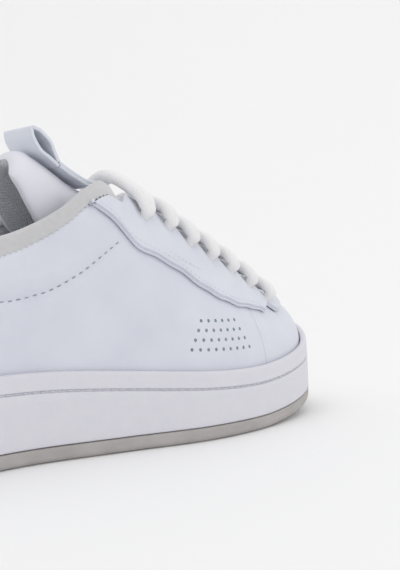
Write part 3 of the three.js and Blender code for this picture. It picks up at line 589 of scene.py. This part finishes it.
# %% Stitches as beads
def beads(name, spots, long, wide, high, matter, body="root", nodes=(), detail=1):
    bm = bmesh.new()
    for at, run, normal in spots:
        x = run.normalized()
        z = (normal - x * normal.dot(x)).normalized()
        y = z.cross(x)
        turn = Matrix((x * long, y * wide, z * high)).transposed().to_4x4()
        bmesh.ops.create_icosphere(
            bm, subdivisions=detail, radius=0.5 * MM, matrix=Matrix.Translation(at * MM) @ turn
        )
    return dress(made(name, bm), matter, body, *nodes)


def round_sole(count, inset, height):
    spots = []
    for i in range(count):
        u = i / count
        x, y, dx, dy = outline_at(u)
        px, py = edge(u, inset)
        spots.append((Vector((px, py, height(x))), Vector((dx, dy, 0)), Vector((dy, -dx, 0))))
    return spots


beads("sole_stitches", round_sole(178, 1.45, lambda x: wall_top(x) - GROOVE_DOWN - 0.8),
      3.4, 0.7, 0.7, THREAD, nodes=("sole_stitching",))

# %% [markdown]
# Foam under leather shows as a soft swelling with valleys at its seams. The relief
# function gives that height everywhere on the upper: the swelling of the collar pad and the
# valley of the seam under it. One function shapes every skin, so they agree where they
# meet. The side ahead of the pad is left smooth, as one clean panel of leather.

# %% Relief of the upper
LACES, LACE_FIRST, LACE_PITCH = 7, 9, 14.9


def relief(u, h):
    p = surface(u, h)
    x, z = p.x, p.z
    low, rim = pad_line(x), collar_line(x)
    back = 1 - smooth(HUMP_X - 22, HUMP_X - 4, x)
    pad = 2.0 * smooth(low, low + 9, z) * (1 - smooth(rim - 9, rim + 1, z)) * back
    seam = -0.9 * math.exp(-(((z - low) / 1.5) ** 2)) * (1 - smooth(HUMP_X - 6, HUMP_X + 6, x))
    return max(pad, 0) + seam


def skin(name, u0, u1, nu, nv, low, high, out, deep, flip=False):
    def place(s, t):
        u = mix(u0, u1, s)
        h = mix(low(u), high(u), t)
        return upper(u, h, out(u, h))

    obj = laid(name, nu, nv, place, size=((u1 - u0) * 700, 100), flip=flip)
    obj.data.materials.clear()
    return thick(obj, deep)


SEAM = u_at(0.5 * HALF)
skins = []
for name, u0, u1, nu, stands_for in (
    ("leather_outer_side", 0.0006, SEAM - 0.0001, 190, "quarter_lateral"),
    ("leather_inner_side", 1 - SEAM + 0.0001, 0.9994, 190, "quarter_medial"),
    ("leather_toe", SEAM + 0.0001, 1 - SEAM - 0.0001, 170, "vamp"),
):
    piece = skin(name, u0, u1, nu, 70, lambda u: 0.02, lambda u: top_h(u) - 0.003, relief, 1.5)
    dress(piece, LEATHER, "root", stands_for, slot="white_leather")
    skins.append(piece)

# %% [markdown]
# The facing carries the eyelets. It is a second layer, with its edge folded under, so it
# shows as two soft lips. Its lower edge is gently scalloped by the pull of the laces, and
# the leather puffs up between one eyelet and the next.


# %% Lace facing
def lace_wave(x):
    return math.cos(2 * math.pi * (x - LACE_FIRST) / LACE_PITCH)


REAR = u_at(HUMP_X - 14)
OVER = 0.9


def facing_top(u):
    full = top_h(u) - 0.004
    side = min(abs(u), abs(1 - u))
    end = u_at(HUMP_X + 4)
    held = min(below_rim(u, 7.0), full)
    return mix(held, full, smooth(end + 0.002, end + 0.014, side))


def facing(name, grow, out, deep):
    def low(u):
        x = surface(u, facing_h(u)).x
        return facing_h(u) - 0.010 * grow + 0.0025 * lace_wave(x)

    def stand(u, h):
        p = surface(u, h)
        near = math.exp(-(((abs(p.y) - throat_half(p.x) - 6) / 6) ** 2))
        inside = 1 if LACE_FIRST - 8 < p.x < LACE_FIRST + 6.5 * LACE_PITCH else 0
        return out + inside * near * 0.9 * (0.5 - 0.5 * lace_wave(p.x))

    piece = skin(name, REAR, 1 - REAR, 330, 22, low, facing_top, stand, deep)
    return piece


dress(facing("facing_under", 1.0, OVER + 0.7, 0.9), LEATHER, "root", slot="white_leather")
top_facing = facing("facing_leather", 0.0, OVER + 1.9, 1.2)
dress(top_facing, LEATHER, "root", "lace_facing", slot="white_leather")
patch = skin("heel_patch", -0.05, 0.05, 40, 30, lambda u: climb(u, lambda x: wall_top(x) + 0.8),
             lambda u: below_rim(u, 7.2), lambda u, h: OVER + 1.4 + max(relief(u, h), 0), 1.3)
dress(patch, LEATHER, "root", "heel_tab", slot="white_leather")

# %% [markdown]
# The lining is a ribbed knit over foam. It is seen inside the collar, so the skin is laid
# with its faces turned inwards. The binding is a strip of suede folded over the raw edges
# and cut with pinking shears: its lower edge is a row of small teeth.

# %% Lining and binding
PAD_OUT, STIFF, PAD = -2.0, 1.2, 5.0


def padding(u, h):
    p = surface(u, h)
    low, rim = pad_line(p.x), collar_line(p.x)
    front = 1 - smooth(HUMP_X - 28, HUMP_X - 8, p.x)
    return smooth(low, low + 14, p.z) * (1 - 0.5 * smooth(rim - 8, rim, p.z)) * front


def lining_in(u, h):
    return PAD_OUT - max(STIFF, PAD * padding(u, h)) - 0.6 - 1


LINING_END = u_at(0.4 * HALF)
inner = skin("collar_knit", -LINING_END, LINING_END, 260, 40, lambda u: 0.02, lambda u: top_h(u) - 0.004,
             lining_in, 0.9, flip=True)
inner.modifiers["thickness"].offset = -1
dress(inner, KNIT, "root", "collar_lining", slot="lining_cloth")
toe = skin("toe_knit", LINING_END, 1 - LINING_END, 160, 30, lambda u: 0.02, lambda u: top_h(u) - 0.004,
           lining_in, 0.9, flip=True)
dress(toe, KNIT, "root", "vamp_lining", slot="lining_cloth")

BIND_END = u_at(HUMP_X + 4)
TEETH = 150


def fold(s, t):
    """A point of the folded strip: t from the outer pinked edge over the rim to the inner edge."""
    u = mix(-BIND_END, BIND_END, s)
    rim_h = top_h(u)
    crown = -lining_in(u, rim_h - 0.004)
    lap = OVER + 1.2
    rise = along([(0, -6.5), (0.3, 0.2), (0.42, 1.7), (0.58, 1.7), (0.7, 0.2), (1, -3.5)], t)
    inward = [(0.42, -0.18 * crown), (0.58, -0.82 * crown), (0.7, -crown - 1.3), (1, -crown - 2.2)]
    out = along([(0, lap), (0.3, lap), *inward], t)
    if t < 0.01:
        rise += 0.55 * (1 - 2 * abs((s * TEETH) % 1 - 0.5) * 2)
    if rise < 0:
        return upper(u, below_rim(round(u, 7), round(-rise, 4)), out)
    q = upper(u, rim_h, out)
    q.z += rise
    return q


binding = laid("collar_suede", 600, 16, fold, size=(330, 20))
dress(thick(binding, 0.9, soft=0.25), SUEDE, "root", "collar_binding", slot="suede")

# %% [markdown]
# Seams are laid after the skins are final. A ray is shot at the finished leather from the
# side, and each stitch or vent hole is set where it lands, turned to the surface there.
# The vents lie in level courses, each half a pitch shorter at both ends than the one below,
# so the holes are staggered and the leather between them stays strong.


# %% Finding the leather's surface
def tree_of(obj):
    deps = bpy.context.evaluated_depsgraph_get()
    return BVHTree.FromObject(obj, deps)


side_trees = {-1: [tree_of(skins[0]), tree_of(skins[2])], 1: [tree_of(skins[1]), tree_of(skins[2])]}


def on_side(x, z, side, trees=None):
    """The point and normal of the leather at x, z, in millimetres, seen from one side."""
    for tree in trees or side_trees[side]:
        at, normal, _, _ = tree.ray_cast(Vector((x, side * 200, z)) * MM, Vector((0, -side, 0)))
        if at is not None:
            return at / MM, normal if normal.y * side > 0 else -normal
    return None


def seam(line, side, pitch, lift=0.0, trees=None):
    """Spots along a line of (x, z) points at an even pitch: place, direction and normal."""
    hits = [on_side(x, z, side, trees) for x, z in line]
    hits = [h for h in hits if h]
    spots, walked, due = [], 0.0, 0.0
    for (a, na), (b, _) in zip(hits, hits[1:]):
        step = (b - a).length
        if 1e-6 < step < 8:
            while due <= walked + step:
                spots.append((a.lerp(b, (due - walked) / step) + na * lift, b - a, na))
                due += pitch
        walked += step
    return spots


VENT_COURSES, VENT_FROM, VENT_TO, VENT_PITCH = 4, 22, 62, 5.0
VENT_RISE, VENT_STEP, VENT_SIZE = 10.0, 4.6, 2.0


def vent_course(j):
    """Course j of the vent field: a level line above the sole, shorter at each course up."""
    shorter = 0.5 * j * VENT_PITCH
    a, b = VENT_FROM + shorter, VENT_TO - shorter
    steps = 40
    return [(x, wall_top(x) + VENT_RISE + VENT_STEP * j) for x in (mix(a, b, k / steps) for k in range(steps + 1))]


for side, word in ((-1, "outer"), (1, "inner")):
    holes = []
    for j in range(VENT_COURSES):
        holes += seam(vent_course(j), side, VENT_PITCH, lift=0.02)
    # Each vent is a raised dot of painted shade, not a cut hole.
    beads("vent_holes_" + word, holes, VENT_SIZE, VENT_SIZE, 0.35, VENT_PAINTED_SHADE)
    back = [(x, pad_line(x)) for x in (mix(-HALF + 6, HUMP_X + 2, j / 200) for j in range(201))]
    # These stitches use painted shade for the seam valley, not a thread of a darker colour.
    beads("pad_stitches_" + word, seam(back, side, 4.0, lift=0.1), 2.4, 0.6, 0.45, SHADE)
    trim = [(x, facing_line(x) + 3.2) for x in (mix(HUMP_X - 6, HUMP_X + 112, j / 240) for j in range(241))]
    on_facing = seam(trim, side, 2.9, lift=0.05, trees=[tree_of(top_facing)])
    beads("facing_stitches_" + word, on_facing, 1.9, 0.55, 0.4, THREAD)

# %% [markdown]
# A padded tongue is a pillow: two leathers with foam between them, thick in the middle and
# closing at the rim. The closed form bends across the hinge at its top and is one mesh,
# tied to no body. Cloth simulation with a little pressure gives the form its natural
# fullness and the small pulls at its edges.

# %% Tongue
TONGUE_END, TONGUE_FRONT, TONGUE_HALF, TONGUE_DROP = -49, 98, 19, 34
TONGUE = [
    (TONGUE_END - 2, INSTEP + 14.6), (TONGUE_END + 6, INSTEP + 14), (HUMP_X - 25, INSTEP + 11.5),
    (HUMP_X - 14, INSTEP + 5.5), (HUMP_X - 6, INSTEP + 0.8), (HUMP_X + 4, INSTEP - 3),
    (HUMP_X + 16, INSTEP - 3.2), (HUMP_X + 24, INSTEP - 4.6), (HUMP_X + 36, along(RIDGE, HUMP_X + 36) - 1.5),
]


def tongue_ridge(x):
    return along(RIDGE, x) - 1.5 if x > HUMP_X + 36 else along(TONGUE, x)


def tongue_skin(x, a):
    lean = mix(-0.33, -0.47, smooth(HUMP_X, HUMP_X + 40, x))
    run = smooth(HUMP_X, TONGUE_FRONT, x)
    waist = 1 - 0.12 * math.exp(-(((x - HUMP_X) / 13) ** 2))
    half, fall = waist * mix(TONGUE_HALF, 0.65 * TONGUE_HALF, run), mix(TONGUE_DROP, 0.5 * TONGUE_DROP, run)
    angle = math.pi / 2 * min(abs(a), 1)
    y = math.copysign(half * math.sin(angle) ** (2 / 2.3), a)
    down = fall * (1 - max(math.cos(angle), 0) ** (2 / 2.3))
    return Vector((x + lean * down, y, tongue_ridge(x) - math.sqrt(1 - lean * lean) * down))


def corner(x):
    return 1 - 0.42 * (1 - clamp((x - TONGUE_END) / 26)) ** 2


def tongue(x, a, out):
    b = clamp(a, -0.98, 0.98) * corner(x)
    dx = tongue_skin(x + 0.3, b) - tongue_skin(x - 0.3, b)
    da = tongue_skin(x, b + 0.004) - tongue_skin(x, b - 0.004)
    return tongue_skin(x, a * corner(x)) + dx.cross(da).normalized() * out


THICK = 9.0


def pillow(s, t):
    x = mix(TONGUE_END, TONGUE_FRONT, s)
    turn = 2 * math.pi * t
    swell = math.sqrt(clamp(1 - (1 - clamp((x - TONGUE_END) / 7)) ** 2)) * 0.94 + 0.06
    a = -math.cos(turn)
    side = math.sin(turn)
    out = -THICK / 2 + THICK / 2 * swell * math.copysign(abs(side) ** 0.55, side)
    return tongue(x, math.copysign(abs(a) ** 0.8, a) * 0.97, out)


def puff(obj, cap, pressure, frames=16):
    """Cloth with a little pressure: the piece swells, and no point moves more than cap."""
    rest = [v.co.copy() for v in obj.data.vertices]
    cloth = obj.modifiers.new("air", "CLOTH")
    cloth.settings.use_pressure = True
    cloth.settings.uniform_pressure_force = pressure
    cloth.settings.effector_weights.gravity = 0
    cloth.settings.quality = 4
    scene = bpy.context.scene
    for f in range(1, frames + 1):
        scene.frame_set(f)
    deps = bpy.context.evaluated_depsgraph_get()
    full = [v.co.copy() for v in obj.evaluated_get(deps).data.vertices]
    obj.modifiers.remove(cloth)
    scene.frame_set(1)
    for v, a, b in zip(obj.data.vertices, rest, full):
        move = b - a
        v.co = a + move * min(1.0, cap * MM / max(move.length, 1e-9))
    print("puffed", obj.name, len(rest), "points")


tongue_pad = laid("tongue_pad", 110, 56, pillow, size=(150, 110), merge=True, cap=True)
puff(tongue_pad, 0.9, 1.5)
tongue_pad.data.materials.append(TONGUE_LEATHER_PAINTED_LIGHT)
tongue_pad.data.materials.append(KNIT)
uvs = tongue_pad.data.uv_layers[0].data
for face in tongue_pad.data.polygons:
    around = sum(uvs[k].uv.y for k in face.loop_indices) / face.loop_total / 110
    face.material_index = 1 if 0.52 < around < 0.98 else 0
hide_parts("tongue_top_shell", "tongue_top_foam", "tongue_top_lining",
            "tongue_base_shell", "tongue_base_foam", "tongue_base_lining")
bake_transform(tongue_pad)
print("tongue_pad", len(tongue_pad.data.polygons), "faces")

# %% [markdown]
# A flat leather strap runs up the tongue and doubles back as a finger loop. Both are
# ribbons: a grid laid along a curve in the middle plane, with real thickness.

# %% Strap and pull loop
STRAP_W, STRAP_T, STRAP_START, LOOP_ROOT, LOOP_LONG, LOOP_BULGE = 24, 1.5, -6, -26, 21, 7
LOW = 0.6 + STRAP_T / 2
HIGH = LOW + STRAP_T + 0.3


def line_at(points, t):
    """A point of the open Catmull-Rom curve through points."""
    n = len(points) - 1
    i = min(int(t * n), n - 1)
    w = t * n - i
    p1, p2 = Vector(points[i]), Vector(points[i + 1])
    p0 = Vector(points[i - 1]) if i else 2 * p1 - p2
    p3 = Vector(points[i + 2]) if i + 2 <= n else 2 * p2 - p1
    m, k = 0.5 * (p2 - p0), 0.5 * (p3 - p1)
    return (2 * p1 - 2 * p2 + m + k) * w**3 + (-3 * p1 + 3 * p2 - 2 * m - k) * w**2 + m * w + p1


def ribbon(name, points, steps, width, body, nodes, matter, flip=False):
    def place(s, t):
        p = line_at(points, s)
        crease = 0.25 * (1 - min(abs(t - 0.06), abs(t - 0.94)) / 0.03) if min(abs(t - 0.06), abs(t - 0.94)) < 0.03 else 0
        return Vector((p.x, (t - 0.5) * width, p.z - crease))

    obj = laid(name, steps, 40, place, size=(60, width), flip=flip)
    thick(obj, STRAP_T, soft=0.35)
    obj.modifiers["thickness"].offset = 0
    return dress(obj, matter, body, *nodes, slot="strap_leather")


def over_tongue(x, lift):
    return (x, 0, tongue_ridge(x) + lift)


def doubled(lift):
    return [over_tongue(mix(STRAP_START, LOOP_ROOT, t), lift) for t in (0, 0.25, 0.5, 0.75, 1)]


ribbon("strap_low", doubled(LOW + 0.4), 30, STRAP_W, "tongue_top", ("tongue_strap",), STRAP_LEATHER_PAINTED_LIGHT)
ribbon("strap_high", doubled(HIGH + 0.3), 30, STRAP_W - 0.8, "tongue_top", (), STRAP_LEATHER_PAINTED_LIGHT)

root_x = LOOP_ROOT - 0.6
root = Vector(over_tongue(root_x, (LOW + HIGH) / 2))
AXIS = Vector((-0.66, 0, 0.75))
ACROSS = Vector((0.75, 0, 0.66))


def lobe(t, side):
    return root + AXIS * LOOP_LONG * t + ACROSS * side * LOOP_BULGE / 2 * math.sin(math.pi * t**1.3)


loop_points = [Vector(over_tongue(root_x, LOW)), lobe(0.25, -1.1), lobe(0.5, -1), lobe(0.8, -1.05), lobe(0.93, -1.4),
               lobe(1.0, 0), lobe(0.93, 1.4), lobe(0.8, 1.05), lobe(0.5, 1), lobe(0.25, 1.1),
               Vector(over_tongue(root_x, HIGH))]
ribbon("finger_loop", loop_points, 90, STRAP_W, "pull_loop", ("pull_loop",), STRAP_LEATHER_PAINTED_LIGHT)

# %% [markdown]
# The lace is a flat woven tube, fat and soft. Each visible bar rises out of an eyelet,
# rounds over the facing and crosses the tongue, so each is one tube along a smooth line
# with a section that widens from neck to bar. The weave follows the tube by its UV map.

# %% Laces
LACE_W, LACE_T, EYELET_EDGE = 10.8, 6.4, 8.2


def on_upper(x, y):
    flip = (lambda u: u) if y < 0 else (lambda u: 1 - u)

    def h_at(u):
        return solve(lambda h: abs(surface(flip(u), h).y) - abs(y), 0, 1)

    u = solve(lambda t: surface(flip(t), h_at(t)).x - x, 0.1, 0.496)
    return flip(u), h_at(u)


def bar(i):
    x = LACE_FIRST + i * LACE_PITCH
    half = throat_half(min(x, THROAT_FRONT - 12))
    over = OVER + 1.8 + 0.6 + LACE_T / 2
    points = []

    def at(side, beyond, out, wide, high):
        p = upper(*on_upper(x, side * (half + beyond)), out)
        points.append((p, wide, high))
        return p

    at(-1, EYELET_EDGE, -3.0, 4.2, 3.4)
    at(-1, EYELET_EDGE, 3.4, 5.6, 4.4)
    at(-1, EYELET_EDGE - 1.2, over + 0.2, 0.84 * LACE_W, 0.84 * LACE_T)
    a = at(-1, 0.5, over + 0.3, LACE_W, LACE_T)
    spot = len(points)
    b = at(1, 0.5, over + 0.3, LACE_W, LACE_T)
    at(1, EYELET_EDGE - 1.2, over + 0.2, 0.84 * LACE_W, 0.84 * LACE_T)
    at(1, EYELET_EDGE, 3.4, 5.6, 4.4)
    at(1, EYELET_EDGE, -3.0, 4.2, 3.4)
    lift = 4 if i == 0 else 0
    top = max((a.z + b.z) / 2 + 1.5, tongue_ridge(x) + lift + 0.6 * LACE_T + 0.6)
    points.insert(spot, (Vector((x, 0, top)), LACE_W, LACE_T))
    return points


def tube(name, points, steps=90, around=24):
    line = [p for p, _, _ in points]
    wide = [(k, p[1]) for k, p in enumerate(points)]
    high = [(k, p[2]) for k, p in enumerate(points)]
    n = len(points) - 1
    frames = []
    for k in range(steps + 1):
        s = k / steps
        p = line_at(line, s)
        run = (line_at(line, min(s + 0.004, 1)) - line_at(line, max(s - 0.004, 0))).normalized()
        slope = Vector((2, 0, tongue_ridge(p.x + 1) - tongue_ridge(p.x - 1)))
        x = (slope - run * slope.dot(run)).normalized()
        frames.append((p, x, run.cross(x), along(wide, s * n) / 2, along(high, s * n) / 2))

    def place(s, t):
        p, x, y, w, h = frames[round(s * steps)]
        c, q = math.cos(2 * math.pi * t), math.sin(2 * math.pi * t)
        return p + x * w * math.copysign(abs(c) ** 0.9, c) + y * h * math.copysign(abs(q) ** 0.9, q)

    return laid(name, steps, around, place, size=(75, 28), merge=True, cap=True)


for i in range(LACES):
    bar_piece = tube("lace_bar_%d" % (i + 1), bar(i))
    nodes = ("lace",) if i == 0 else ()
    dress(bar_piece, COTTON, "root", *nodes, slot="lace_cotton")

# %% [markdown]
# Pieces inside the shoe still need a finish: the footbed is a cloth-covered pad that lifts
# out, and foam, board and stiffeners keep their CAD form, out of sight.


# %% Footbed and the pieces inside
def footbed(s, t):
    x, y = across(s, t, 13.4)
    dish = 1.6 * (abs(t - 0.5) * 2) ** 3
    return Vector((x, y, wall_top(x) - 14 + 4.0 + dish))


bed = laid("footbed", 200, 24, footbed, size=(280, 80))
dress(thick(bed, 3.4, soft=0.6), KNIT, "sockliner", "sockliner", slot="lining_cloth")
BOARD = material("insole_board", srgb(222, 216, 202), srgb(204, 198, 184), 0.9, GRAIN, (0.4, 0.2),
                 cells=600, folds=120, fold_share=0.5)
STIFFENER = material("stiffener", srgb(190, 172, 140), srgb(172, 154, 122), 0.7, GRAIN, (0.3, 0.2),
                     cells=700, folds=100, fold_share=0.5)
for name, matter in (("midsole_foam", FOAM), ("collar_foam", FOAM), ("strobel_board", BOARD),
                     ("heel_counter", STIFFENER), ("toe_puff", STIFFENER)):
    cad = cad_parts[name]
    cad.data.materials.clear()
    cad.data.materials.append(matter)

# %% [markdown]
# A product view needs little: a white sweep of paper that curves up behind the shoe, a
# large soft light over it and a weaker one from the front, so the folds read without hard
# shadows.

# %% Stage, light and camera
def sweep(s, t):
    across_x, run = (s - 0.5) * 9000, t * 5200
    depth = min(run, 3000) - 2400
    turn = clamp((run - 3000) / 1100) * math.pi / 2
    depth += 700 * math.sin(turn)
    rise = 700 * (1 - math.cos(turn)) + max(run - 4100, 0)
    return Vector((across_x * 0.742 + depth * 0.671, depth * 0.742 - across_x * 0.671, rise))


paper = laid("paper_sweep", 12, 60, sweep)
PAPER = bpy.data.materials.new("paper")
PAPER.use_nodes = True
PAPER.node_tree.nodes["Principled BSDF"].inputs["Base Color"].default_value = (0.95, 0.95, 0.95, 1)
PAPER.node_tree.nodes["Principled BSDF"].inputs["Roughness"].default_value = 0.9
paper.data.materials.append(PAPER)


def area(name, at, aim, size, power, tint=(1, 1, 1)):
    light = bpy.data.lights.new(name, "AREA")
    light.size, light.energy, light.color = size, power, tint
    obj = bpy.data.objects.new(name, light)
    obj.location = at
    obj.rotation_mode = "QUATERNION"
    obj.rotation_quaternion = (Vector(aim) - Vector(at)).to_track_quat("-Z", "Y")
    bpy.context.scene.collection.objects.link(obj)


centre = (cad_box[0] + cad_box[1]) / 2
area("overhead", (0.2, 0.1, 1.6), centre, 1.6, 2.6)
area("from_toe_side", (1.0, -0.7, 0.9), centre, 1.2, 1.6, (1, 0.98, 0.97))
area("from_behind", (-0.9, -0.9, 0.8), centre, 1.4, 0.6, (0.94, 0.96, 1))
world = bpy.context.scene.world or bpy.data.worlds.new("studio")
bpy.context.scene.world = world
world.use_nodes = True
world.node_tree.nodes["Background"].inputs["Color"].default_value = (0.845, 0.845, 0.848, 1)
world.node_tree.nodes["Background"].inputs["Strength"].default_value = 1.0
bpy.context.scene.view_settings.view_transform = "Standard"

YAW, PITCH, ROLL = (math.radians(a) for a in (42.18, -2.04, -0.73))
EYE = Vector((-260.12, -365.97, 89.42)) * MM
look = Vector((math.sin(YAW) * math.cos(PITCH), math.cos(YAW) * math.cos(PITCH), math.sin(PITCH)))
right = Vector((math.cos(YAW), -math.sin(YAW), 0))
lift = right.cross(look)
side_way = right * math.cos(ROLL) + lift * math.sin(ROLL)
up_way = -right * math.sin(ROLL) + lift * math.cos(ROLL)
lens = bpy.data.cameras.new("camera")
lens.sensor_fit, lens.sensor_width, lens.lens = "HORIZONTAL", 36, 81
lens.clip_start = 0.01
camera = bpy.data.objects.new("camera", lens)
camera.matrix_world = Matrix.Translation(EYE) @ Matrix((side_way, up_way, -look)).transposed().to_4x4()
bpy.context.scene.collection.objects.link(camera)
bpy.context.scene.camera = camera
